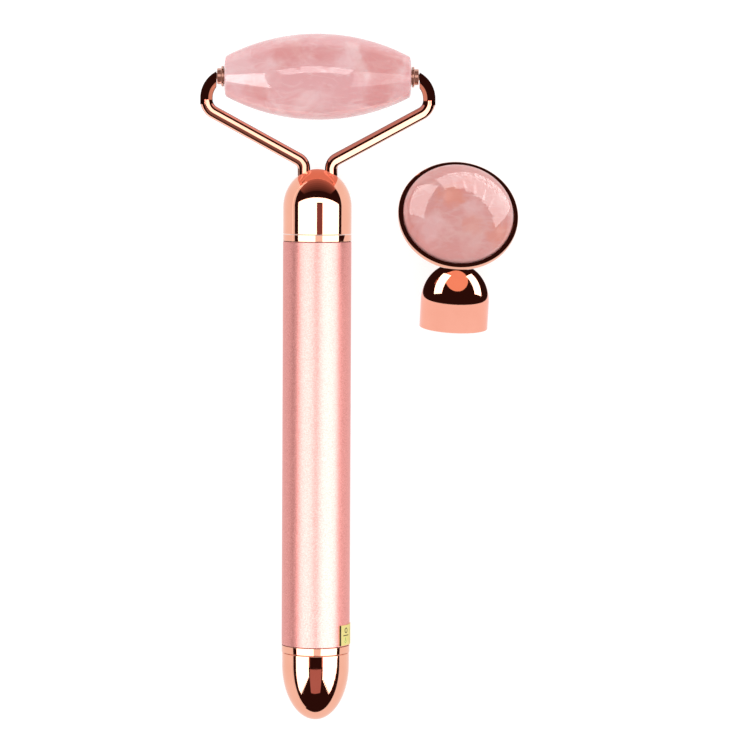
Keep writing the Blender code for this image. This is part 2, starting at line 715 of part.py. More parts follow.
def main():
    root = new_frame("face_roller_frame", None, Matrix.Identity(4))
    handle = new_frame("handle_frame", root, handle_matrix())
    outward = Matrix.Translation((0, 0, -LOWER_RING_LENGTH)) @ Matrix.Rotation(math.pi, 4, "X")
    end_cap = new_frame("end_cap_frame", handle, outward)
    head = new_frame("head_frame", handle, Matrix.Translation((0, 0, CAP_RIM_Z)))
    across = Matrix.Translation((0, 0, ROLLER_Z)) @ Matrix.Rotation(math.pi / 2, 4, "Y")
    roller = new_frame("roller_frame", head, across)
    spare = new_frame("spare_frame", root, spare_matrix())
    bezel_place = Matrix.Translation((0, BEZEL_OFFSET_Y, BEZEL_OFFSET_Z))
    bezel_tip = Matrix.Rotation(math.radians(BEZEL_TIP_DEG), 4, "X")
    bezel = new_frame("bezel_frame", spare, bezel_place @ bezel_tip)
    make_handle(handle)
    make_battery(handle)
    make_leads(handle)
    make_motor(handle)
    make_rotor(handle)
    make_end_cap(end_cap)
    make_seal("end_cap_seal", 0.55 * MM, end_cap)
    make_seal("head_seal", 0.5 * MM, head)
    make_roller_head(head, roller)
    make_roller(roller)
    make_spare_head(spare, bezel)
    centre_on_floor(root)


main()
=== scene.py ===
"""The looks of the vibrating face roller and its spare head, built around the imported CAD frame.

Metres, +Z up, in the row frame. Each visible piece is a fine mesh that stands for its CAD node.
"""

import json
import math

import bmesh
import bpy
from mathutils import Matrix, Vector, noise


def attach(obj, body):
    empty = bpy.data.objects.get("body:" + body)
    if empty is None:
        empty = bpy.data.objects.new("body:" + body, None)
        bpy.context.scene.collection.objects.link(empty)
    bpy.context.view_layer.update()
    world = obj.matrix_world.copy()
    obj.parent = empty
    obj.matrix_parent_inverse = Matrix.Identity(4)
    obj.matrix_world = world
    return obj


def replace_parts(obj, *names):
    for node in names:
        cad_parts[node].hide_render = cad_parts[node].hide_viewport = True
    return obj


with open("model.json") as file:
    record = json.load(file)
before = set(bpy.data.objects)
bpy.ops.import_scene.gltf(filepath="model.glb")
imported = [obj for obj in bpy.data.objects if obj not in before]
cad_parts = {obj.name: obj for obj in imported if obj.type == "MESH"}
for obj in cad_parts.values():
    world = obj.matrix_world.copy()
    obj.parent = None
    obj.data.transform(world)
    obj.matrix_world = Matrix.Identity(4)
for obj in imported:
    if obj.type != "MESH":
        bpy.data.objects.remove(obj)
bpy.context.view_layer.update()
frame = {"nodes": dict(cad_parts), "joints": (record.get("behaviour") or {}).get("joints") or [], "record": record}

MM = 0.001
SEGMENTS = 160
FILLET_STEPS = 5
SHARP_DEG = 35

# ---- Frames, from the record's joints and mount ----

JOINTS = {joint["name"]: joint for joint in frame["joints"]}
MOUNT = frame["record"]["mounts"][0]


def frame_from(origin, z_axis, x_axis):
    z = Vector(z_axis).normalized()
    x = Vector(x_axis)
    x = (x - z * x.dot(z)).normalized()
    turn = Matrix((x, z.cross(x), z)).transposed()
    return Matrix.Translation(origin) @ turn.to_4x4()


def end_centre(node, outward):
    """The middle of a turned CAD node's end that faces this way."""
    axis = Vector(outward).normalized()
    points = [vert.co for vert in frame["nodes"][node].data.vertices]
    furthest = max(point.dot(axis) for point in points)
    end = [point for point in points if point.dot(axis) > furthest - 0.01 * MM]
    return sum(end, Vector()) / len(end)


ACROSS = Vector((1, 0, 0))
HEAD = frame_from(JOINTS["head_twist"]["pos_m"], JOINTS["head_twist"]["axis"], ACROSS)
HANDLE_AXIS = HEAD.col[2].to_3d()
FOOT = frame_from(JOINTS["end_cap_twist"]["pos_m"], JOINTS["end_cap_twist"]["axis"], ACROSS)
ROLLER = frame_from(JOINTS["roller_spin"]["pos_m"], JOINTS["roller_spin"]["axis"], -HANDLE_AXIS)
SPARE_RIM = end_centre("spare_cap", MOUNT["axis"])
SPARE_UP = -Vector(MOUNT["axis"])
SPARE = frame_from(SPARE_RIM, SPARE_UP, Vector(MOUNT["pos_m"]) - SPARE_RIM)
BEZEL_FORWARD = 3.1 * MM
BEZEL_HEIGHT = 27.10 * MM
BEZEL_TIP = math.radians(52.0)
BEZEL = SPARE @ Matrix.Translation((0, BEZEL_FORWARD, BEZEL_HEIGHT)) @ Matrix.Rotation(BEZEL_TIP, 4, "X")

# ---- Mesh helpers ----


def finish_mesh(name, work, body, material):
    bmesh.ops.recalc_face_normals(work, faces=work.faces)
    mesh = bpy.data.meshes.new(name)
    work.to_mesh(mesh)
    work.free()
    mesh.materials.append(material)
    mesh.shade_smooth()
    mesh.set_sharp_from_angle(angle=math.radians(SHARP_DEG))
    obj = bpy.data.objects.new(name, mesh)
    bpy.context.scene.collection.objects.link(obj)
    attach(obj, body)
    return obj


def outline(points):
    """Profile points with each (radius, height, fillet) corner rounded off."""
    flat = [Vector(point[:2]) for point in points]
    made = []
    for i, point in enumerate(points):
        fillet = point[2] if len(point) > 2 else 0
        if not fillet or i in (0, len(points) - 1):
            made.append(tuple(flat[i]))
            continue
        into = (flat[i] - flat[i - 1]).normalized()
        out = (flat[i + 1] - flat[i]).normalized()
        half_turn = into.angle(out) / 2
        if half_turn < 0.01:
            made.append(tuple(flat[i]))
            continue
        reach = fillet * math.tan(half_turn)
        start, end = flat[i] - into * reach, flat[i] + out * reach
        centre = flat[i] + (out - into).normalized() * fillet / math.cos(half_turn)
        for k in range(FILLET_STEPS + 1):
            share = k / FILLET_STEPS
            spoke = (start - centre).lerp(end - centre, share).normalized() * fillet
            made.append(tuple(centre + spoke))
    return made


def arc(centre, radii, start_deg, end_deg, steps):
    points = []
    for i in range(steps + 1):
        angle = math.radians(start_deg + (end_deg - start_deg) * i / steps)
        points.append((centre[0] + radii[0] * math.cos(angle), centre[1] + radii[1] * math.sin(angle)))
    return points


def lathe_mesh(profile, matrix, segments=SEGMENTS, closed=False):
    """A turned surface about the matrix's Z axis. A point on the axis becomes one vertex."""
    work = bmesh.new()
    rings = []
    for radius, height in profile:
        if radius < 1e-7:
            rings.append([work.verts.new((0, 0, height))])
            continue
        ring = []
        for i in range(segments):
            angle = 2 * math.pi * i / segments
            ring.append(work.verts.new((radius * math.cos(angle), radius * math.sin(angle), height)))
        rings.append(ring)
    pairs = list(zip(rings, rings[1:]))
    if closed:
        pairs.append((rings[-1], rings[0]))
    for a, b in pairs:
        for i in range(segments):
            j = (i + 1) % segments
            corners = [a[i % len(a)], a[j % len(a)], b[j % len(b)], b[i % len(b)]]
            work.faces.new(list(dict.fromkeys(corners)))
    work.transform(matrix)
    return work


def lathe(name, profile, matrix, body, material, segments=SEGMENTS, closed=False):
    return finish_mesh(name, lathe_mesh(profile, matrix, segments, closed), body, material)


def ripple(obj, size, depth, seed):
    """Moves each vertex a little along its normal, for a hand-polished surface that isn't perfectly true."""
    offset = Vector((seed, seed * 1.7, seed * 0.6))
    mesh = obj.data
    shifts = [noise.noise(vert.co / size + offset) * depth for vert in mesh.vertices]
    for vert, normal, shift in zip(mesh.vertices, [v.normal.copy() for v in mesh.vertices], shifts):
        vert.co += normal * (shift - depth)
    mesh.update()


def sweep(path, radius, sides=40):
    """A round wire with flat ends, along a path in the XZ plane."""
    work = bmesh.new()
    rings = []
    last = len(path) - 1
    for i, point in enumerate(path):
        along = (path[min(i + 1, last)] - path[max(i - 1, 0)]).normalized()
        side = Vector((along.z, 0, -along.x))
        ring = []
        for k in range(sides):
            angle = 2 * math.pi * k / sides
            spoke = side * math.cos(angle) + Vector((0, 1, 0)) * math.sin(angle)
            ring.append(work.verts.new(point + spoke * radius))
        rings.append(ring)
    for a, b in zip(rings, rings[1:]):
        for k in range(sides):
            j = (k + 1) % sides
            work.faces.new((a[k], a[j], b[j], b[k]))
    work.faces.new(rings[0])
    work.faces.new(rings[-1])
    return work


def cut_flat(work, point, outward):
    """Cuts off what lies past a plane, and closes the cut."""
    geometry = list(work.verts) + list(work.edges) + list(work.faces)
    bmesh.ops.bisect_plane(
        work, geom=geometry, dist=1e-7, plane_co=point, plane_no=outward, clear_outer=True,
    )
    rim = [edge for edge in work.edges if len(edge.link_faces) == 1]
    bmesh.ops.holes_fill(work, edges=rim, sides=0)


def cut_hole(obj, cutter_mesh):
    """Cuts a solid out of an object and keeps the result as its mesh."""
    bmesh.ops.recalc_face_normals(cutter_mesh, faces=cutter_mesh.faces)
    mesh = bpy.data.meshes.new("hole")
    cutter_mesh.to_mesh(mesh)
    cutter_mesh.free()
    cutter = bpy.data.objects.new("hole", mesh)
    bpy.context.scene.collection.objects.link(cutter)
    boolean = obj.modifiers.new("hole", "BOOLEAN")
    boolean.operation = "DIFFERENCE"
    boolean.object = cutter
    world = obj.matrix_world.copy()
    cutter.matrix_world = Matrix.Identity(4)
    bpy.context.view_layer.update()
    graph = bpy.context.evaluated_depsgraph_get()
    cut = bpy.data.meshes.new_from_object(obj.evaluated_get(graph))
    obj.modifiers.remove(boolean)
    obj.data = cut
    obj.matrix_world = world
    bpy.data.objects.remove(cutter)
    cut.set_sharp_from_angle(angle=math.radians(SHARP_DEG))


# ---- Materials ----


class Nodes:
    """A material's node tree, with short calls to add and link nodes."""

    def __init__(self, name):
        self.material = bpy.data.materials.new(name)
        self.material.use_nodes = True
        self.tree = self.material.node_tree
        self.shader = self.tree.nodes["Principled BSDF"]
        self.place = self.add("ShaderNodeTexCoord").outputs["Object"]

    def add(self, kind, **values):
        node = self.tree.nodes.new(kind)
        for key, value in values.items():
            setattr(node, key, value)
        return node

    def link(self, source, target):
        self.tree.links.new(source, target)

    def set(self, **values):
        for key, value in values.items():
            self.shader.inputs[key.replace("_", " ")].default_value = value

    def noise(self, scale, detail=3.0, roughness=0.5, distortion=0.0, place=None):
        node = self.add("ShaderNodeTexNoise")
        node.inputs["Scale"].default_value = scale
        node.inputs["Detail"].default_value = detail
        node.inputs["Roughness"].default_value = roughness
        node.inputs["Distortion"].default_value = distortion
        self.link(place or self.place, node.inputs["Vector"])
        return node.outputs["Fac"]

    def stretch(self, turn_deg, scale):
        node = self.add("ShaderNodeMapping")
        node.inputs["Rotation"].default_value = [math.radians(angle) for angle in turn_deg]
        node.inputs["Scale"].default_value = scale
        self.link(self.place, node.inputs["Vector"])
        return node.outputs["Vector"]

    def ramp(self, source, stops):
        node = self.add("ShaderNodeValToRGB")
        elements = node.color_ramp.elements
        while len(elements) < len(stops):
            elements.new(0.5)
        for element, (position, color) in zip(elements, stops):
            element.position = position
            element.color = (*color, 1) if len(color) == 3 else color
        self.link(source, node.inputs["Fac"])
        return node.outputs["Color"]

    def grey_ramp(self, source, stops):
        return self.ramp(source, [(position, (value,) * 3) for position, value in stops])

    def mix(self, share, a, b, blend="MIX"):
        node = self.add("ShaderNodeMix", data_type="RGBA", blend_type=blend)
        factor, first, second = node.inputs[0], node.inputs[6], node.inputs[7]
        for socket, value in ((factor, share), (first, a), (second, b)):
            if isinstance(value, bpy.types.NodeSocket):
                self.link(value, socket)
            elif isinstance(value, tuple):
                socket.default_value = (*value, 1)
            else:
                socket.default_value = value
        return node.outputs[2]

    def patch(self, place, centre, radius, strength):
        """A ragged soft-edged patch of another tone at a point of the object, from nought outside to this strength
        inside.
        """
        wobble = self.add("ShaderNodeTexNoise")
        wobble.inputs["Scale"].default_value = 380
        wobble.inputs["Detail"].default_value = 4
        self.link(place, wobble.inputs["Vector"])
        shifted = self.add("ShaderNodeVectorMath", operation="MULTIPLY_ADD")
        self.link(wobble.outputs["Color"], shifted.inputs[0])
        shifted.inputs[1].default_value = (radius * 1.6,) * 3
        self.link(place, shifted.inputs[2])
        gap = self.add("ShaderNodeVectorMath", operation="DISTANCE")
        self.link(shifted.outputs[0], gap.inputs[0])
        gap.inputs[1].default_value = Vector(centre) + Vector((radius * 0.8,) * 3)
        scaled = self.add("ShaderNodeMath", operation="DIVIDE")
        self.link(gap.outputs["Value"], scaled.inputs[0])
        scaled.inputs[1].default_value = radius
        return self.grey_ramp(scaled.outputs[0], [(0.45, strength), (1.0, 0.0)])

    def bump(self, height, strength, distance):
        node = self.add("ShaderNodeBump")
        node.inputs["Strength"].default_value = strength
        node.inputs["Distance"].default_value = distance
        self.link(height, node.inputs["Height"])
        self.link(node.outputs["Normal"], self.shader.inputs["Normal"])

    def color(self, socket):
        self.link(socket, self.shader.inputs["Base Color"])

    def roughness(self, source, low, high):
        self.link(self.grey_ramp(source, [(0.3, low), (0.7, high)]), self.shader.inputs["Roughness"])


def rose_gold_material():
    """Mirror-polished plating, with faint polishing ripples and hairline variation in its polish."""
    n = Nodes("rose_gold_chrome")
    n.set(Metallic=1.0)
    tint = n.noise(220, 2)
    n.color(n.ramp(tint, [(0.3, (0.930, 0.452, 0.318)), (0.7, (0.960, 0.482, 0.345))]))
    n.roughness(n.noise(900, 4, 0.6), 0.02, 0.06)
    n.bump(n.noise(260, 1), 0.12, 0.00002)
    return n.material


def satin_material():
    """Bead-blasted, pink-anodised aluminium: a soft metallic sheen with a fine sparkling grain."""
    n = Nodes("pink_satin_metal")
    n.set(Metallic=0.82)
    grain = n.noise(3000, 3, 0.65)
    flake = n.noise(5200, 1, 0.5)
    base = n.ramp(grain, [(0.30, (0.660, 0.235, 0.215)), (0.70, (0.880, 0.385, 0.350))])
    n.color(n.mix(n.grey_ramp(flake, [(0.60, 0.0), (0.72, 0.65)]), base, (0.97, 0.56, 0.52)))
    n.roughness(grain, 0.34, 0.46)
    n.bump(grain, 0.3, 0.00004)
    return n.material


def quartz_material(name, seed, base, deep, pale, patches):
    """Polished rose quartz: cloudy, with darker clouds, pale veils and fine healed cracks inside."""
    n = Nodes(name)
    shift = n.add("ShaderNodeVectorMath", operation="ADD")
    n.link(n.place, shift.inputs[0])
    shift.inputs[1].default_value = (seed, seed * 0.7, -seed * 0.4)
    own_place = n.place
    n.place = shift.outputs[0]
    cloud = n.noise(95, 4, 0.55, 0.6)
    color = n.ramp(cloud, [(0.30, pale), (0.48, base), (0.62, base), (0.78, deep)])
    veil_place = n.stretch((25, 10, 35), (1.0, 2.6, 1.6))
    veil = n.noise(170, 6, 0.62, 1.2, veil_place)
    color = n.mix(n.grey_ramp(veil, [(0.50, 0.0), (0.72, 0.75)]), color, pale)
    streak_place = n.stretch((0, 40, -50), (0.6, 4.0, 1.4))
    streak = n.noise(260, 5, 0.7, 0.4, streak_place)
    color = n.mix(n.grey_ramp(streak, [(0.60, 0.0), (0.74, 0.5)]), color, deep)
    cracks = n.add("ShaderNodeTexVoronoi", feature="DISTANCE_TO_EDGE")
    cracks.inputs["Scale"].default_value = 210
    n.link(n.stretch((40, 20, 65), (0.5, 1.6, 1.0)), cracks.inputs["Vector"])
    line = n.grey_ramp(cracks.outputs["Distance"], [(0.0, 0.45), (0.035, 0.0)])
    patchy = n.grey_ramp(n.noise(120, 2), [(0.50, 0.0), (0.62, 1.0)])
    color = n.mix(n.mix(1.0, line, patchy, "MULTIPLY"), color, pale)
    for centre, radius, strength, tone in patches:
        color = n.mix(n.patch(own_place, centre, radius, strength), color, tone)
    n.color(color)
    n.set(IOR=1.55, Subsurface_Weight=0.35, Subsurface_Scale=0.004, Roughness=0.06)
    n.shader.inputs["Subsurface Radius"].default_value = (1.0, 0.55, 0.5)
    n.bump(n.noise(420, 2), 0.05, 0.00002)
    return n.material


def metal_material(name, dark, light, rough, scale=600):
    """Machined or drawn metal with fine turning marks."""
    n = Nodes(name)
    n.set(Metallic=1.0)
    marks = n.noise(scale, 4, 0.6, 0.0, n.stretch((0, 0, 0), (1, 6, 1)))
    n.color(n.ramp(marks, [(0.3, dark), (0.7, light)]))
    n.roughness(marks, rough - 0.06, rough + 0.08)
    n.bump(marks, 0.15, 0.00003)
    return n.material


def plain_material(name, dark, light, rough, scale=700, depth=0.00003):
    """Moulded plastic, rubber, paper or foam: a faint mottle and a fine surface texture."""
    n = Nodes(name)
    mottle = n.noise(scale, 5, 0.6)
    n.color(n.ramp(mottle, [(0.3, dark), (0.7, light)]))
    n.roughness(mottle, rough - 0.05, rough + 0.08)
    n.bump(n.noise(scale * 4, 2), 0.3, depth)
    return n.material


ROSE_GOLD = rose_gold_material()
SATIN = satin_material()
ROSE, BLUSH, MILK = (0.72, 0.27, 0.25), (0.76, 0.31, 0.24), (0.89, 0.62, 0.63)
STONE_PATCHES = [
    (ROLLER @ Vector((-height * MM, -level * MM, across * MM)), size * MM, strength, tone)
    for across, height, level, size, strength, tone in (
        (-6.5, 6.0, 8.2, 5.2, 0.50, ROSE),
        (15.5, 3.2, 7.2, 7.5, 0.50, ROSE),
        (-14.0, -4.0, 7.2, 4.0, 0.45, ROSE),
        (14.5, -4.6, 6.5, 4.6, 0.40, ROSE),
        (1.5, 5.5, 8.6, 3.8, 0.35, ROSE),
        (-19.0, 1.5, 5.8, 6.0, 0.50, MILK),
        (7.0, 3.5, 9.0, 3.4, 0.35, MILK),
        (-12.0, 3.0, 9.3, 3.0, 0.3, MILK),
        (0.5, -6.0, 7.8, 5.0, 0.3, MILK),
    )
]
# Two of the blush patches lie where the cabochon's two warm spots are lit, and turn the stone more orange there.
CABOCHON_PATCHES = [
    (BEZEL @ Vector((across * MM, up * MM, level * MM)), size * MM, strength, tone)
    for across, up, level, size, strength, tone in (
        (-2.0, 2.1, 4.8, 4.0, 0.75, BLUSH),
        (9.8, -6.6, 2.2, 4.6, 0.55, BLUSH),
        (3.0, -5.0, 4.2, 3.2, 0.4, BLUSH),
        (1.0, 5.0, 4.4, 3.4, 0.4, ROSE),
        (-7.0, -6.0, 3.2, 5.0, 0.35, MILK),
        (3.0, -1.0, 4.8, 3.4, 0.3, MILK),
    )
]
ROLLER_QUARTZ = quartz_material(
    "roller_quartz", 0.31, (0.805, 0.430, 0.440), (0.735, 0.310, 0.300), (0.890, 0.600, 0.600), STONE_PATCHES)
CABOCHON_QUARTZ = quartz_material(
    "cabochon_quartz", 1.93, (0.72, 0.345, 0.325), (0.74, 0.28, 0.23), (0.77, 0.46, 0.44), CABOCHON_PATCHES)
BRASS = metal_material("brass_machined", (0.66, 0.47, 0.20), (0.80, 0.61, 0.30), 0.26)
NICKEL = metal_material("nickel_steel", (0.50, 0.49, 0.48), (0.66, 0.65, 0.63), 0.26)
BUSH_METAL = metal_material("bush_steel", (0.58, 0.30, 0.23), (0.76, 0.42, 0.33), 0.16)
COPPER = metal_material("copper_winding", (0.55, 0.20, 0.09), (0.85, 0.42, 0.22), 0.30, 2400)
TUNGSTEN = metal_material("tungsten_alloy", (0.24, 0.24, 0.25), (0.40, 0.40, 0.41), 0.40)
FERRITE = plain_material("ferrite", (0.055, 0.055, 0.06), (0.11, 0.11, 0.12), 0.60)
WHITE_PLASTIC = plain_material("white_plastic", (0.74, 0.73, 0.70), (0.84, 0.83, 0.80), 0.42)
BLACK_PLASTIC = plain_material("black_plastic", (0.025, 0.025, 0.03), (0.05, 0.05, 0.06), 0.45)
LINER = plain_material("insulating_liner", (0.60, 0.57, 0.47), (0.74, 0.71, 0.62), 0.45)
WRAP = plain_material("battery_wrap", (0.07, 0.16, 0.30), (0.11, 0.24, 0.40), 0.25)
RUBBER = plain_material("seal_rubber", (0.025, 0.025, 0.025), (0.05, 0.05, 0.05), 0.65)
RED_LEAD = plain_material("lead_red", (0.45, 0.03, 0.03), (0.62, 0.06, 0.05), 0.40)
BLACK_LEAD = plain_material("lead_black", (0.02, 0.02, 0.02), (0.05, 0.05, 0.05), 0.40)
FOAM = plain_material("foam_pad", (0.70, 0.70, 0.69), (0.88, 0.88, 0.87), 0.90, 1500, 0.0001)
LABEL_FILM = plain_material("label_yellow", (0.900, 0.760, 0.250), (0.960, 0.840, 0.330), 0.38)
LABEL_INK = plain_material("label_ink", (0.05, 0.035, 0.02), (0.09, 0.06, 0.03), 0.50)
LABEL_GREEN = plain_material("label_green", (0.42, 0.60, 0.12), (0.52, 0.70, 0.18), 0.50)

# ---- Handle ----

TUBE_LENGTH = 97.3 * MM
TUBE_RADIUS = 8.2 * MM
UPPER_RING = 1.7 * MM
LOWER_RING = 1.83 * MM
GAP = 0.06 * MM
HANDLE = HEAD @ Matrix.Translation((0, 0, -TUBE_LENGTH - UPPER_RING))


def band_profile(bore, low, high, edge):
    """The section of a tube with rounded outer edges. It starts half way along the bore."""
    outer = [(TUBE_RADIUS, high, edge), (TUBE_RADIUS, low, edge)]
    return outline([(bore, (low + high) / 2), (bore, high)] + outer + [(bore, low)])


def add_tube():
    profile = band_profile(7.7 * MM, GAP, TUBE_LENGTH - GAP, 0.12 * MM)
    body = lathe("handle_tube_shell", profile, HANDLE, "handle", SATIN, closed=True)
    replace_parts(body, "handle_tube")
    return body


def add_ring(node, bore, low, high):
    profile = band_profile(bore, low, high, 0.07 * MM)
    ring = lathe(node + "_band", profile, HANDLE, "handle", ROSE_GOLD, closed=True)
    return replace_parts(ring, node)


FILM_THICKNESS = 0.1 * MM
INK_THICKNESS = 0.015 * MM
FILM_UNDERSIDE = 8.26 * MM
LABEL_FACE = FILM_UNDERSIDE + FILM_THICKNESS


def curved_strip(name, pairs, radius, thickness, material, closed=False):
    """A thin piece bent round the tube. A pair is its two edges, each an angle from the top and a height."""
    work = bmesh.new()
    rings = []
    for first, second in pairs:
        corners = []
        for (angle_deg, height), out in ((first, 0), (second, 0), (second, thickness), (first, thickness)):
            angle = math.radians(angle_deg)
            spoke = Vector((math.sin(angle), -math.cos(angle), 0))
            corners.append(work.verts.new(spoke * (radius + out) + Vector((0, 0, height))))
        rings.append(corners)
    for a, b in zip(rings, rings[1:] + (rings[:1] if closed else [])):
        for k in range(4):
            work.faces.new((a[k], a[(k + 1) % 4], b[(k + 1) % 4], b[k]))
    if not closed:
        work.faces.new(rings[0])
        work.faces.new(rings[-1])
    work.transform(HANDLE)
    return finish_mesh(name, work, "handle", material)


def span(start, end, low, high):
    """Pairs for a plain rectangular strip."""
    steps = max(2, round((end - start) / 2))
    angles = [start + (end - start) * i / steps for i in range(steps + 1)]
    return [((angle, low), (angle, high)) for angle in angles]


def ring_mark(angle_deg, height, radii, steps=32):
    """Pairs for a ring that looks round, with its middle at this angle and height of the label."""
    degree = math.radians(1) * LABEL_FACE
    pairs = []
    for i in range(steps):
        turn = 2 * math.pi * i / steps
        across, up = math.cos(turn) / degree, math.sin(turn)
        pairs.append([(angle_deg + across * radius, height + up * radius) for radius in radii])
    return pairs


def add_label():
    """The yellow film at the tube's foot, a dark line along its edge, and generic marks: a ring, a bar and a small
    arrow.
    """
    low, high, start, end = 0.3 * MM, 5.2 * MM, 44, 108
    edge_width = 4
    film_pairs = span(start, end, low, high)
    film = curved_strip("switch_label_film", film_pairs, FILM_UNDERSIDE, FILM_THICKNESS, LABEL_FILM)
    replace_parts(film, "switch_label")
    # A dark line along the film's edge, in the same dark material as the marks.
    edge_pairs = span(start, start + edge_width, low, high)
    curved_strip("label_edge_line", edge_pairs, LABEL_FACE, INK_THICKNESS, LABEL_INK)
    ring_pairs = ring_mark(62, 3.9 * MM, (0.42 * MM, 0.66 * MM))
    curved_strip("label_ring_mark", ring_pairs, LABEL_FACE, INK_THICKNESS, LABEL_INK, closed=True)
    bar_pairs = span(54, 71, 2.60 * MM, 2.80 * MM)
    curved_strip("label_bar_mark", bar_pairs, LABEL_FACE, INK_THICKNESS, LABEL_INK)
    arrow_middle = 60
    arrow_outline = ((0.5, 0.8), (4.6, 1.35), (4.6, 1.4), (1.5, 1.4), (1.5, 2.2))
    arrow_pairs = [
        ((arrow_middle - width, height * MM), (arrow_middle + width, height * MM))
        for width, height in arrow_outline
    ]
    curved_strip("label_arrow_mark", arrow_pairs, LABEL_FACE, INK_THICKNESS, LABEL_GREEN)


# ---- Caps ----

CAP_CYLINDER = 6.4 * MM
CAP_DOME = 9.15 * MM
WIRE_RADIUS = 1.48 * MM
LEG_X = 3.25 * MM


def shell_profile(radius, bore, cylinder, dome, inner_dome, edge, steps):
    """The section of a thin cap with an open rim: a half ellipse over a short cylinder."""
    outer = arc((0, cylinder), (radius, dome), 90, 0, steps)
    inner = arc((0, cylinder), (bore, inner_dome), 0, 90, 24)
    outer[0] = (0, cylinder + dome)
    inner[-1] = (0, cylinder + inner_dome)
    rim = outline([outer[-1], (radius, GAP, edge), (bore, GAP, 0.1 * MM), inner[0]])
    return outer[:-1] + rim + inner[1:]


def add_dome_cap(name, node, matrix, body, places, hole_radius):
    """A head's cap: a dome on a short cylinder, open at its rim, with a clean hole for each wire or post."""
    profile = shell_profile(TUBE_RADIUS, 7.5 * MM, CAP_CYLINDER, CAP_DOME, 8.4 * MM, 0.09 * MM, 60)
    cap = lathe(name, profile, matrix, body, ROSE_GOLD, 192)
    low, high = 8 * MM, 20 * MM
    drill = [(0, high), (hole_radius, high), (hole_radius, low), (0, low)]
    for x in places:
        cut_hole(cap, lathe_mesh(drill, matrix @ Matrix.Translation((x, 0, 0)), 48))
    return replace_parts(cap, node)


def add_end_cap():
    profile = shell_profile(8.08 * MM, 7.55 * MM, 3.06 * MM, 13.4 * MM, 12.45 * MM, 0.18 * MM, 72)
    cap = lathe("end_cap_dome", profile, FOOT, "end_cap", ROSE_GOLD, 192)
    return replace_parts(cap, "end_cap_shell")


# ---- Yoke and roller ----

ROLLER_Z = 37.6 * MM
LEG_FOOT_Z = 7.6 * MM
FORK_Z = 17.2 * MM
FORK_BEND = 2.6 * MM
ELBOW_X = 26.65 * MM
ELBOW_Z = 29.94 * MM
ELBOW_BEND = 3.5 * MM
ARM_SPLIT_Z = 30.9 * MM
HOOK_RADIUS = 5.7 * MM
HOOK_DROP = 5.2 * MM
HOOK_DEG = 66
HOOK_STEPS = 40
WIRE_END_X = 24.3 * MM


def bend(before, corner, after, radius, steps=24):
    """The points of a round bend between two straight lengths that would meet at this corner."""
    into, out = (corner - before).normalized(), (after - corner).normalized()
    half_turn = into.angle(out) / 2
    reach = radius * math.tan(half_turn)
    centre = corner + (out - into).normalized() * radius / math.cos(half_turn)
    start, end = corner - into * reach - centre, corner + out * reach - centre
    points = []
    for i in range(steps + 1):
        share = i / steps
        first = math.sin((1 - share) * 2 * half_turn) / math.sin(2 * half_turn)
        second = math.sin(share * 2 * half_turn) / math.sin(2 * half_turn)
        points.append(centre + start * first + end * second)
    return points


def yoke_path(side):
    """The arm's centreline in the head's frame: from the cap to the split, and on to the roller's end."""
    foot, fork = Vector((LEG_X, 0, LEG_FOOT_Z)), Vector((LEG_X, 0, FORK_Z))
    elbow = Vector((ELBOW_X, 0, ELBOW_Z))
    top = Vector((ELBOW_X, 0, ROLLER_Z - HOOK_DROP))
    split = Vector((ELBOW_X, 0, ARM_SPLIT_Z))
    lower = [foot] + bend(foot, fork, elbow, FORK_BEND) + bend(fork, elbow, top, ELBOW_BEND) + [split]
    hook = arc((top.x - HOOK_RADIUS, top.z), (HOOK_RADIUS, HOOK_RADIUS), 0, HOOK_DEG, HOOK_STEPS)
    upper = [split] + [Vector((x, 0, z)) for x, z in hook]
    return [[Vector((side * point.x, 0, point.z)) for point in part] for part in (lower, upper)]


def add_arm(side, word):
    """An arm in two pieces that meet just above its elbow, and the axle pin at its end."""
    lower_path, upper_path = yoke_path(side)
    lower = sweep(lower_path, WIRE_RADIUS)
    lower.transform(HEAD)
    lower = finish_mesh("yoke_wire_" + word, lower, "roller_head", ROSE_GOLD)
    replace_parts(lower, "yoke_arm_" + word)
    upper = sweep(upper_path, WIRE_RADIUS)
    cut_flat(upper, (side * WIRE_END_X, 0, ROLLER_Z), (-side, 0, 0))
    upper.transform(HEAD)
    upper = finish_mesh("yoke_wire_end_" + word, upper, "roller_head", ROSE_GOLD)
    low, high = sorted((side * 18.1 * MM, side * (WIRE_END_X + 0.4 * MM)))
    pin_radius = 0.75 * MM
    pin = [(0, high), (pin_radius, high), (pin_radius, low), (0, low)]
    lathe("axle_pin_" + word, pin, ROLLER, "roller_head", ROSE_GOLD, 48)
    return lower, upper


def add_bush(side, word):
    """A small flanged bush, pressed into the stone's end, with a collar round the pin."""
    bore, collar, flange, shank = 0.86 * MM, 1.93 * MM, 2.48 * MM, 1.85 * MM
    inner_end, flange_low, flange_high, tip = 17.0 * MM, 22.52 * MM, 23.05 * MM, 24.1 * MM
    profile = outline([
        (bore, 20 * MM), (bore, tip), (collar, tip, 0.25 * MM), (collar, flange_high, 0.12 * MM),
        (flange, flange_high, 0.15 * MM), (flange, flange_low, 0.1 * MM), (shank, flange_low),
        (shank, inner_end), (bore, inner_end),
    ])
    profile = [(radius, side * height) for radius, height in profile]
    bush = lathe("roller_end_bush_" + word, profile, ROLLER, "roller", BUSH_METAL, 96, closed=True)
    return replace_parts(bush, "roller_bush_" + word)


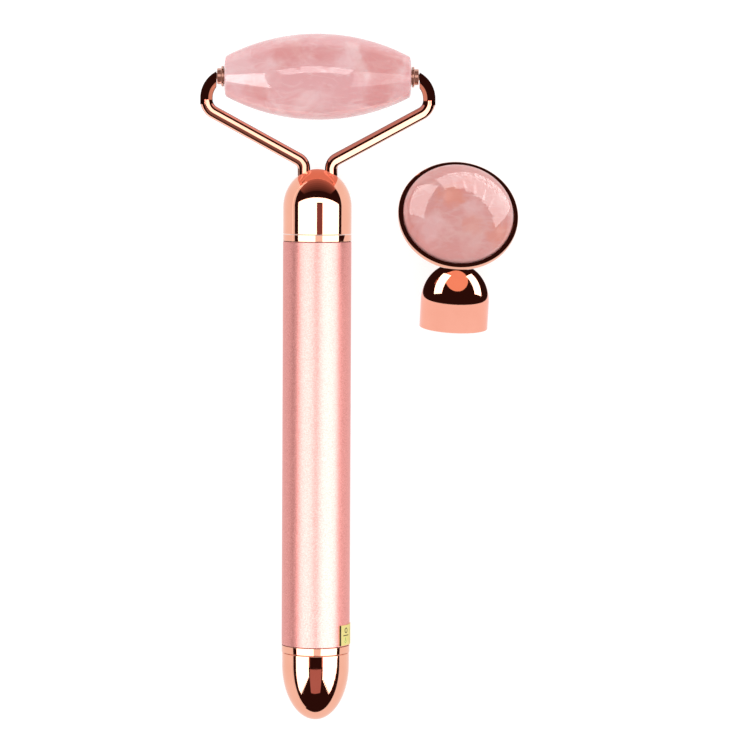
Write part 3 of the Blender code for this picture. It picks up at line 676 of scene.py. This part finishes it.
def add_stone():
    """A barrel with gently domed ends, crisp at the shoulders, and a blind bore in each end."""
    radius, end_radius, shoulder, half = 10.28 * MM, 4.9 * MM, 21.9 * MM, 22.38 * MM
    rise = radius - end_radius
    arc_radius = (shoulder**2 + rise**2) / (2 * rise)
    spread = math.degrees(math.asin(shoulder / arc_radius))
    barrel = arc((radius - arc_radius, 0), (arc_radius, arc_radius), spread, -spread, 180)
    bore, bore_end = 2.0 * MM, 16.4 * MM
    end = [
        (0, bore_end), (bore, bore_end), (bore, half),
        (3.4 * MM, half - 0.08 * MM, 1 * MM), (4.45 * MM, half - 0.26 * MM, 0.5 * MM),
    ]
    top = outline(end + [barrel[0] + (0.22 * MM,), barrel[3]])
    bottom = [(radius, -height) for radius, height in reversed(top)]
    stone = lathe("rose_quartz_barrel", top + barrel[4:-4] + bottom, ROLLER, "roller", ROLLER_QUARTZ, 256)
    ripple(stone, 9 * MM, 0.010 * MM, 3.1)
    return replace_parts(stone, "roller_stone")


# ---- Spare head ----


def add_neck():
    """The post between the cap and the bezel, cut at its upper end to the slope of the bezel's back."""
    post, flange = 1.17 * MM, 3.1 * MM
    low, flange_high, high = 12.2 * MM, 13.5 * MM, 23 * MM
    profile = outline([
        (0, high), (post, high), (post, flange_high, 0.3 * MM), (flange, flange_high, 0.1 * MM),
        (flange, low), (0, low),
    ])
    work = lathe_mesh(profile, SPARE, 64)
    outward = BEZEL.col[2].to_3d()
    cut_flat(work, BEZEL.translation - outward * 2.41 * MM, outward)
    neck = finish_mesh("spare_neck_post", work, "spare_head", ROSE_GOLD)
    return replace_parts(neck, "spare_neck")


def add_bezel():
    radius, mouth, round_edge = 14.46 * MM, 13.45 * MM, 1.2 * MM
    bottom, floor, lip = -2.38 * MM, -1.7 * MM, -0.02 * MM
    profile = outline([
        (0, floor), (mouth, floor, 0.1 * MM), (mouth, lip, 0.2 * MM), (radius, lip, 0.14 * MM),
        (radius, bottom, round_edge), (0, bottom),
    ])
    bezel = lathe("bezel_cup", profile, BEZEL, "spare_head", ROSE_GOLD, 256)
    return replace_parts(bezel, "spare_bezel")


CABOCHON_RADIUS = 13.28 * MM
CABOCHON_RISE = 4.87 * MM
CABOCHON_GIRDLE = 0.2 * MM


def add_cabochon():
    base = -1.1 * MM
    dome = arc((0, CABOCHON_GIRDLE), (CABOCHON_RADIUS, CABOCHON_RISE), 90, 0, 130)
    dome[0] = (0, CABOCHON_GIRDLE + CABOCHON_RISE)
    profile = dome + outline([dome[-1], (CABOCHON_RADIUS, base, 0.15 * MM), (0, base)])[1:]
    stone = lathe("rose_quartz_cabochon", profile, BEZEL, "spare_head", CABOCHON_QUARTZ, 224)
    ripple(stone, 8 * MM, 0.012 * MM, 7.7)
    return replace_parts(stone, "spare_stone")


# ---- Carried-over CAD nodes ----

CARRIED = {
    BRASS: [
        "head_spigot", "lower_bush", "positive_contact", "motor_bush", "head_insert", "yoke_anchor",
        "spare_insert",
    ],
    NICKEL: ["battery_button", "motor_can", "motor_shaft", "spring_plate", "battery_spring"],
    WHITE_PLASTIC: ["contact_carrier", "motor_carrier", "end_cap_insert"],
    BLACK_PLASTIC: ["motor_end_cap"],
    LINER: ["battery_sleeve"],
    WRAP: ["battery_can"],
    RUBBER: ["end_cap_seal", "head_seal"],
    FERRITE: ["motor_magnet"],
    COPPER: ["motor_armature"],
    TUNGSTEN: ["eccentric_weight"],
    RED_LEAD: ["lead_positive"],
    BLACK_LEAD: ["lead_negative"],
    FOAM: ["spare_pad"],
}


def dress_cad_nodes():
    for material, names in CARRIED.items():
        for name in names:
            node = frame["nodes"][name]
            node.data.materials.clear()
            node.data.materials.append(material)
            node.visible_glossy = False


# ---- Stage: floor, world, camera, lights ----


def add_floor():
    """A white floor that glows a little, so that it stays pure white except right beside the object."""
    work = bmesh.new()
    bmesh.ops.create_circle(work, cap_ends=True, radius=6.0, segments=96)
    mesh = bpy.data.meshes.new("floor")
    work.to_mesh(mesh)
    work.free()
    floor = bpy.data.objects.new("floor", mesh)
    floor.location.z = -0.02 * MM
    floor.visible_glossy = False
    floor.visible_shadow = False
    bpy.context.scene.collection.objects.link(floor)
    n = Nodes("white_floor")
    n.set(Roughness=0.9)
    n.shader.inputs["Specular IOR Level"].default_value = 0.0
    n.shader.inputs["Base Color"].default_value = (0.45, 0.45, 0.45, 1)
    n.shader.inputs["Emission Color"].default_value = (1, 1, 1, 1)
    n.shader.inputs["Emission Strength"].default_value = 0.74
    mesh.materials.append(n.material)


def set_world():
    """White all round for soft light, and nearly black in reflections, where only the panels show."""
    world = bpy.data.worlds.new("studio")
    bpy.context.scene.world = world
    world.use_nodes = True
    tree = world.node_tree
    mix = tree.nodes.new("ShaderNodeMix")
    mix.data_type = "RGBA"
    tree.links.new(tree.nodes.new("ShaderNodeLightPath").outputs["Is Glossy Ray"], mix.inputs[0])
    mix.inputs[6].default_value = (1, 1, 1, 1)
    mix.inputs[7].default_value = (0.024, 0.008, 0.007, 1)
    tree.links.new(mix.outputs[2], tree.nodes["Background"].inputs["Color"])


CAMERA_DISTANCE = 0.925
CAMERA_TILT = math.radians(3.0)
CAMERA_TURN = math.radians(0.3)
CAMERA_AIM = Vector((3.72 * MM, 0.82 * MM, 8 * MM))
CAMERA_AT = CAMERA_AIM + Vector((0, math.sin(CAMERA_TILT), math.cos(CAMERA_TILT))) * CAMERA_DISTANCE


def add_camera():
    camera = bpy.data.objects.new("camera", bpy.data.cameras.new("camera"))
    camera.data.sensor_width = 36
    camera.data.lens = 184.5
    camera.data.clip_end = 20
    camera.location = CAMERA_AT
    camera.rotation_euler = (-CAMERA_TILT, 0, CAMERA_TURN)
    bpy.context.scene.collection.objects.link(camera)
    bpy.context.scene.camera = camera


LIGHT_HEIGHT = 0.6
BOX_DEPTH = (-3.0, 0.5)
WHITE = (1, 1, 1)
RIGHTWARDS, LEFTWARDS = Vector((1, 0, 0)), Vector((-1, 0, 0))
FORWARDS, BACKWARDS = Vector((0, 1, 0)), Vector((0, -1, 0))
UPWARDS = Vector((0, 0, 1))
RECEIVER_GROUPS = {}


def receiver_group(receivers):
    """The collection of these pieces, made once. Cycles tells apart 64 different ones at most."""
    key = frozenset(obj.name for obj in receivers)
    if key not in RECEIVER_GROUPS:
        group = bpy.data.collections.new("lit_pieces")
        for obj in receivers:
            group.objects.link(obj)
        RECEIVER_GROUPS[key] = group
    return RECEIVER_GROUPS[key]


def add_panel(name, centre, across, up, size, radiance, receivers, color=WHITE, shape="RECTANGLE"):
    """A flat softbox that only the given pieces show, in reflections. It faces along up x across."""
    data = bpy.data.lights.new(name, "AREA")
    data.shape = shape
    data.size, data.size_y = size
    data.energy = radiance * math.pi * data.size * data.size_y
    data.color = color
    light = bpy.data.objects.new(name, data)
    light.matrix_world = frame_from(centre, Vector(across).cross(Vector(up)), across)
    light.visible_camera = False
    light.visible_diffuse = False
    bpy.context.scene.collection.objects.link(light)
    group = receiver_group(receivers)
    light.light_linking.receiver_collection = group
    light.light_linking.blocker_collection = group


def add_overhead(name, seen_from, x_span, y_span, radiance, receivers, color=WHITE):
    """A panel flat overhead. Its edges are slopes x/z and y/z as seen from a point of the object."""
    x_low, x_high = (seen_from[0] + slope * LIGHT_HEIGHT for slope in x_span)
    y_low, y_high = (seen_from[1] + slope * LIGHT_HEIGHT for slope in y_span)
    centre = ((x_low + x_high) / 2, (y_low + y_high) / 2, LIGHT_HEIGHT)
    size = (x_high - x_low, y_high - y_low)
    add_panel(name, centre, RIGHTWARDS, FORWARDS, size, radiance, receivers, color)


# A dome is its frame, the height where it starts, its radius and its rise.
SPARE_DOME = (SPARE, CAP_CYLINDER, TUBE_RADIUS, CAP_DOME)
STONE_DOME = (BEZEL, CABOCHON_GIRDLE, CABOCHON_RADIUS, CABOCHON_RISE)
DOME_LIGHT_DISTANCE = 0.6


def mirrored_from(dome, point):
    """The place that the camera sees mirrored in a dome, at this point of the dome's plan."""
    matrix, base, radius, rise = dome
    flat = Vector((*point, 0))
    height = math.sqrt(1 - flat.length_squared / radius**2)
    place = matrix @ (flat + Vector((0, 0, base + rise * height)))
    normal = (matrix.to_3x3() @ (flat / radius**2 + Vector((0, 0, height / rise)))).normalized()
    view = (CAMERA_AT - place).normalized()
    return place + (2 * normal.dot(view) * normal - view) * DOME_LIGHT_DISTANCE


def box_edges(centre, size, turn_deg=0):
    """The near and far edges of a box in a dome's plan, from left to right."""
    turn = Matrix.Rotation(math.radians(turn_deg), 2)
    half_width, half_depth = size[0] / 2, size[1] / 2
    return [
        [Vector(centre) + turn @ Vector((x, y)) for x in (-half_width, half_width)]
        for y in (-half_depth, half_depth)
    ]


def add_dome_panel(name, dome, edges, radiance, receivers, color=WHITE, shape="RECTANGLE"):
    """A softbox that the camera sees mirrored in a dome between two edges of the dome's plan."""
    (near_start, near_end), (far_start, far_end) = [
        [mirrored_from(dome, point) for point in edge] for edge in edges
    ]
    centre = (near_start + near_end + far_start + far_end) / 4
    across = (near_end - near_start + far_end - far_start) / 2
    up = (far_start - near_start + far_end - near_end) / 2
    up -= across * (up.dot(across) / across.length_squared)
    if across.cross(up).dot(centre - dome[0].translation) < 0:
        across = -across
    add_panel(name, centre, across, up, (across.length, up.length), radiance, receivers, color, shape)


# ---- Lights, piece by piece ----


def light_low():
    """A wide panel under the floor, which isn't seen in reflections, and a low strip at the left."""
    standing = [tube, end_cap, stone, neck, bezel, cabochon] + rings + bushes
    add_panel("below", (0, 0, -0.12), RIGHTWARDS, BACKWARDS, (14, 14), 0.95, standing)
    low_left = [head_cap, end_cap] + rings
    add_panel("low_left", (-0.6, 0, 0.05), BACKWARDS, UPWARDS, (2.4, 0.1), 0.9, low_left)


def light_head_cap():
    """Four square panels below, which meet under the cap, a fading glow beyond it and softboxes overhead."""
    side = 6
    meeting = at_head + Vector((0, 0.011, -0.03))
    for turn_deg in (90, 180, 270, 0):
        radiance, color = (0.95, WHITE) if turn_deg else (0.76, (1, 0.41, 0.31))
        turn = Matrix.Rotation(math.radians(turn_deg), 3, "Z")
        centre = meeting + turn @ FORWARDS * side / math.sqrt(2)
        across, up = turn @ Vector((1, 1, 0)), turn @ Vector((1, -1, 0))
        add_panel("head_below_%d" % turn_deg, centre, across, up, (side, side), radiance, [head_cap], color)
    strip = (1.4, 0.09)
    warm = (1, 0.40, 0.32)
    for step, radiance in enumerate((0.42, 0.30, 0.21, 0.15, 0.10, 0.06)):
        centre = (-0.01, 0.6, (step + 0.5) * strip[1])
        add_panel("head_far_%d" % step, centre, LEFTWARDS, UPWARDS, strip, radiance, [head_cap], warm)
    add_overhead("head_left", at_head, (-2.27, -0.02), BOX_DEPTH, 3.3, [head_cap])
    add_overhead("head_right", at_head, (0.33, 4.6), BOX_DEPTH, 3.3, [head_cap])
    add_overhead("head_middle", at_head, (-0.02, 0.33), (0.23, 0.5), 3.0, [head_cap])
    add_overhead("head_bar", at_head, (-0.02, 0.33), (-3.0, 0.17), 0.22, [head_cap], (1, 0.36, 0.36))


def light_rings():
    """Two softboxes overhead with a dimmer one between them."""
    add_overhead("ring_left", at_head, (-2.27, -0.1), BOX_DEPTH, 3.3, rings)
    add_overhead("ring_middle", at_head, (-0.1, 0.33), BOX_DEPTH, 1.0, rings)
    add_overhead("ring_right", at_head, (0.33, 4.6), BOX_DEPTH, 3.3, rings)


def light_arm(side, word, arm, arm_end, far, near, bright, far_top, far_glow, edge_low):
    """A softbox over the arm, a dim one in front of it, one below, a glow beyond and one for the hook."""
    slope = Vector((ELBOW_X - LEG_X, ELBOW_Z - FORK_Z)).normalized()
    over = Vector((-slope.y * side, slope.x, 0))
    along = Vector((slope.x, slope.y * side, 0))
    overhead = at_head + UPWARDS * LIGHT_HEIGHT
    centre = overhead + over * (far + near) / 2 * LIGHT_HEIGHT
    size = (1.0, (far - near) * LIGHT_HEIGHT)
    add_panel("arm_over_" + word, centre, along, over, size, bright, [arm])
    dim_depth = 2.2
    centre = overhead + over * (near - dim_depth / 2) * LIGHT_HEIGHT
    size = (1.0, dim_depth * LIGHT_HEIGHT)
    add_panel("arm_near_" + word, centre, along, over, size, 0.20, [arm], (1, 0.62, 0.6))
    add_panel("arm_edge_" + word, -over * 0.8 - UPWARDS * edge_low, along, UPWARDS, (3.0, 1.2), 1.3, [arm])
    far_bottom = -0.98
    centre = (0, 0.8, (far_top + far_bottom) / 2)
    size = (3.0, far_top - far_bottom)
    add_panel("arm_far_" + word, centre, LEFTWARDS, UPWARDS, size, far_glow, [arm], (1, 0.64, 0.66))
    centre = (-0.5 * side, 0.1, 0)
    facing = BACKWARDS * side
    add_panel("arm_inner_" + word, centre, facing, UPWARDS, (1.6, 1.3), 0.62, [arm_end], (1, 0.66, 0.58))


def light_bushes():
    add_overhead("bush_over", at_stone, (-0.6, 0.6), (-0.1, 0.5), 0.9, bushes)
    add_overhead("bush_wide", at_stone, (-3.0, 3.0), (-4.0, 4.0), 0.3, bushes, (1, 0.75, 0.7))


def light_tube():
    add_overhead("tube_left", at_head, (-1.8, -0.13), BOX_DEPTH, 3.6, [tube])
    add_overhead("tube_right", at_head, (0.15, 4.6), BOX_DEPTH, 4.1, [tube])


def light_end_cap():
    """Two softboxes in strips, so that their near edges slope, with a glow and two thin lines between."""
    strips = 14
    for word, first, last in (("left", -0.41, -2.59), ("right", 0.485, 6.9)):
        growth = (last / first) ** (1 / strips)
        for step in range(strips):
            inner, outer = first * growth ** step, first * growth ** (step + 1)
            middle = abs(inner + outer) / 2
            near = max(-0.90 * middle, 0.36 * middle - 2.7)
            x_span = sorted((inner, outer))
            add_overhead("foot_%s_%d" % (word, step), at_foot, x_span, (near, 0.5), 3.3, [end_cap])
    add_overhead("foot_top", at_foot, (-0.41, 0.485), (0.12, 0.5), 2.4, [end_cap])
    add_overhead("foot_glow", at_foot, (-0.33, 0.40), (-0.95, -0.18), 0.42, [end_cap], (1, 0.44, 0.42))
    for word, x_span in (("left", (-0.41, -0.33)), ("right", (0.40, 0.485))):
        add_overhead("foot_line_" + word, at_foot, x_span, (-0.16, 0.12), 0.55, [end_cap], (1, 0.42, 0.34))


def light_stone():
    """A softbox at the left, three turned ones in an arch beyond the stone, and a dimmer one at the right."""
    add_overhead("stone_left", at_stone, (-2.3, -0.63), (-0.80, 0.16), 6.3, [stone])
    overhead = at_stone + UPWARDS * LIGHT_HEIGHT
    for word, x, y, turn_deg, width, depth in (
        ("a", -0.33, 0.235, 24, 0.25, 0.30),
        ("b", -0.07, 0.325, 4, 0.27, 0.34),
        ("c", 0.21, 0.27, -20, 0.32, 0.30),
    ):
        turn = Matrix.Rotation(math.radians(turn_deg), 3, "Z")
        centre = overhead + Vector((x, y, 0)) * LIGHT_HEIGHT
        size = (width * LIGHT_HEIGHT, depth * LIGHT_HEIGHT)
        add_panel("stone_arch_" + word, centre, turn @ RIGHTWARDS, turn @ FORWARDS, size, 3.8, [stone])
    add_overhead("stone_right", at_stone, (0.38, 2.3), (-0.62, 0.24), 1.9, [stone])


def light_spare_cap():
    """A wide disc at the rim, a softbox on each side of the dome, a warm disc between, and the neck's panel."""
    middle_deg = -89
    facing = -SPARE_UP
    across = facing.orthogonal().normalized()
    up = facing.cross(across)
    centre = SPARE_RIM + facing * 0.1
    add_panel("spare_front", centre, across, up, (3.3, 3.3), 0.78, [spare_cap], (1, 0.90, 0.93), "DISK")
    for word, side in (("left", -1), ("right", 1)):
        edges = []
        for share, start_deg, end_deg in ((0.63, 18, 43), (0.955, 31, 47)):
            radii = (TUBE_RADIUS * share, TUBE_RADIUS * share)
            edges.append(arc((0, 0), radii, middle_deg + side * start_deg, middle_deg + side * end_deg, 1))
        add_dome_panel("spare_" + word, SPARE_DOME, edges, 3.3, [spare_cap])
    edges = box_edges((-0.3 * MM, -5.6 * MM), (4.6 * MM, 3.3 * MM))
    add_dome_panel("spare_disc", SPARE_DOME, edges, 0.75, [spare_cap], (1.0, 0.50, 0.36), "ELLIPSE")
    add_panel("neck_front", (0.025, -0.2, 0.28), RIGHTWARDS, UPWARDS, (1.6, 0.56), 0.95, [neck])


def light_cabochon():
    """An arch of softboxes between two arcs of its plan, one more at the left, and two faint warm spots."""
    steps = 7
    inner = arc((-2.5 * MM, -6 * MM), (10.6 * MM, 10.6 * MM), 94, 9, steps)
    outer = arc((1.5 * MM, -1.5 * MM), (11.2 * MM, 11.2 * MM), 133, 7, steps)
    for step in range(steps):
        edges = (inner[step:step + 2], outer[step:step + 2])
        add_dome_panel("cab_arch_%d" % step, STONE_DOME, edges, 4.0, [cabochon])
    edges = box_edges((-8.9 * MM, 1.3 * MM), (4 * MM, 8.7 * MM), -17)
    add_dome_panel("cab_left", STONE_DOME, edges, 4.0, [cabochon])
    warm = (1.0, 0.6, 0.5)
    edges = box_edges((-2.9 * MM, 2.1 * MM), (2.4 * MM, 2.9 * MM))
    add_dome_panel("cab_spot_middle", STONE_DOME, edges, 1.0, [cabochon], warm, "ELLIPSE")
    edges = box_edges((9.55 * MM, -5.7 * MM), (1.8 * MM, 2.6 * MM))
    add_dome_panel("cab_spot_edge", STONE_DOME, edges, 1.0, [cabochon], warm, "ELLIPSE")


# ---- Build ----

tube = add_tube()
upper_ring = add_ring("upper_ring", 6.6 * MM, TUBE_LENGTH + GAP, TUBE_LENGTH + UPPER_RING - GAP)
lower_ring = add_ring("lower_ring", 6.95 * MM, GAP - LOWER_RING, -GAP)
add_label()
head_cap = add_dome_cap("head_cap_dome", "head_cap", HEAD, "roller_head", (-LEG_X, LEG_X), 1.62 * MM)
end_cap = add_end_cap()
arm_right, arm_end_right = add_arm(1, "right")
arm_left, arm_end_left = add_arm(-1, "left")
bushes = [add_bush(1, "right"), add_bush(-1, "left")]
stone = add_stone()
spare_cap = add_dome_cap("spare_cap_dome", "spare_cap", SPARE, "spare_head", (0,), 1.3 * MM)
neck = add_neck()
bezel = add_bezel()
cabochon = add_cabochon()
dress_cad_nodes()
for piece in (tube, upper_ring, head_cap, stone, spare_cap, neck, bezel, cabochon):
    piece.visible_glossy = False

add_floor()
set_world()
add_camera()

at_head = HEAD.translation
at_foot = FOOT.translation
at_stone = ROLLER.translation
rings = [upper_ring, lower_ring]
light_low()
light_head_cap()
light_rings()
light_arm(
    -1, "left", arm_left, arm_end_left,
    far=0.85, near=-0.25, bright=2.0, far_top=0.16, far_glow=0.82, edge_low=0.8,
)
light_arm(
    1, "right", arm_right, arm_end_right,
    far=0.22, near=-6.0, bright=2.5, far_top=0.66, far_glow=0.52, edge_low=1.25,
)
light_bushes()
light_tube()
light_end_cap()
light_stone()
light_spare_cap()
light_cabochon()

bpy.context.scene.view_settings.view_transform = "Standard"
